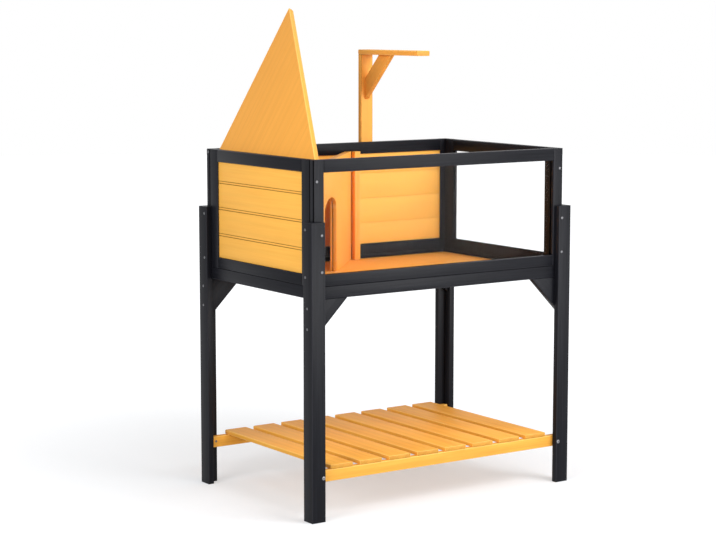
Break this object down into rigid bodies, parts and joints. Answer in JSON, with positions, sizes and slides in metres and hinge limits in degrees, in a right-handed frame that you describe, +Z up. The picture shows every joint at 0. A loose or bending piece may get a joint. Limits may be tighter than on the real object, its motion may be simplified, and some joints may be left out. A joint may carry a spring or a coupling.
{
  "type": "terrarium cabinet",
  "caption": "open-topped framed timber enclosure on corner legs, with clear front and end panes, boarded back, corner hide under a hinged lid, lamp bracket and slatted shelf",
  "frame": {"origin": "on the floor, at the middle of the outline of the four legs", "axes": "X along the front from its left end to its right end, Y from the front pane to the boarded back, Z up"},
  "size_m": [0.9, 0.6, 1.3869],
  "materials": {
    "painted_leg_timber": "charcoal paint, satin, grain faintly showing",
    "painted_frame_timber": "charcoal paint, satin",
    "clear_acrylic": "clear polished sheet",
    "stained_boarding": "honey-coloured stain, satin",
    "stained_timber": "honey-coloured stain, satin",
    "hinge_steel": "zinc-plated steel"
  },
  "bodies": {
    "cabinet": {"leg_front_left": "painted_leg_timber", "leg_front_right": "painted_leg_timber", "leg_back_right": "painted_leg_timber", "leg_back_left": "painted_leg_timber", "gusset_front_left": "painted_frame_timber", "gusset_front_right": "painted_frame_timber", "gusset_back_right": "painted_frame_timber", "gusset_back_left": "painted_frame_timber", "front_stile_left": "painted_frame_timber", "front_stile_right": "painted_frame_timber", "front_rail_bottom": "painted_frame_timber", "front_rail_top": "painted_frame_timber", "right_stile_left": "painted_frame_timber", "right_stile_right": "painted_frame_timber", "right_rail_bottom": "painted_frame_timber", "right_rail_top": "painted_frame_timber", "back_stile_left": "painted_frame_timber", "back_stile_right": "painted_frame_timber", "back_rail_bottom": "painted_frame_timber", "back_rail_top": "painted_frame_timber", "left_stile_left": "painted_frame_timber", "left_stile_right": "painted_frame_timber", "left_rail_bottom": "painted_frame_timber", "left_rail_top": "painted_frame_timber", "apron_front": "painted_frame_timber", "apron_right": "painted_frame_timber", "apron_back": "painted_frame_timber", "apron_left": "painted_frame_timber", "front_pane": "clear_acrylic", "right_pane": "clear_acrylic", "back_plank_1": "stained_boarding", "back_plank_2": "stained_boarding", "back_plank_3": "stained_boarding", "back_plank_4": "stained_boarding", "left_plank_1": "stained_boarding", "left_plank_2": "stained_boarding", "left_plank_3": "stained_boarding", "left_plank_4": "stained_boarding", "shelf_rail_front": "stained_timber", "shelf_rail_back": "stained_timber", "shelf_slat_1": "stained_timber", "shelf_slat_2": "stained_timber", "shelf_slat_3": "stained_timber", "shelf_slat_4": "stained_timber", "shelf_slat_5": "stained_timber", "shelf_slat_6": "stained_timber", "shelf_slat_7": "stained_timber", "shelf_slat_8": "stained_timber", "floor_panel": "stained_timber", "hide_wall": "stained_timber", "hide_batten_back": "stained_timber", "hide_batten_left": "stained_timber", "lamp_post": "stained_timber", "lamp_arm": "stained_timber", "lamp_brace": "stained_timber", "hinge_front_rail_leaf": "hinge_steel", "hinge_back_rail_leaf": "hinge_steel"},
    "lid": {"lid": "stained_timber", "hinge_front_lid_leaf": "hinge_steel", "hinge_back_lid_leaf": "hinge_steel"}
  },
  "joints": [
    {"name": "lid_hinge", "type": "hinge", "parent": "cabinet", "child": "lid", "pos_m": [-0.411, 0, 0.9766], "axis": [0, -1, 0], "range_deg": [-59, 50]}
  ]
}
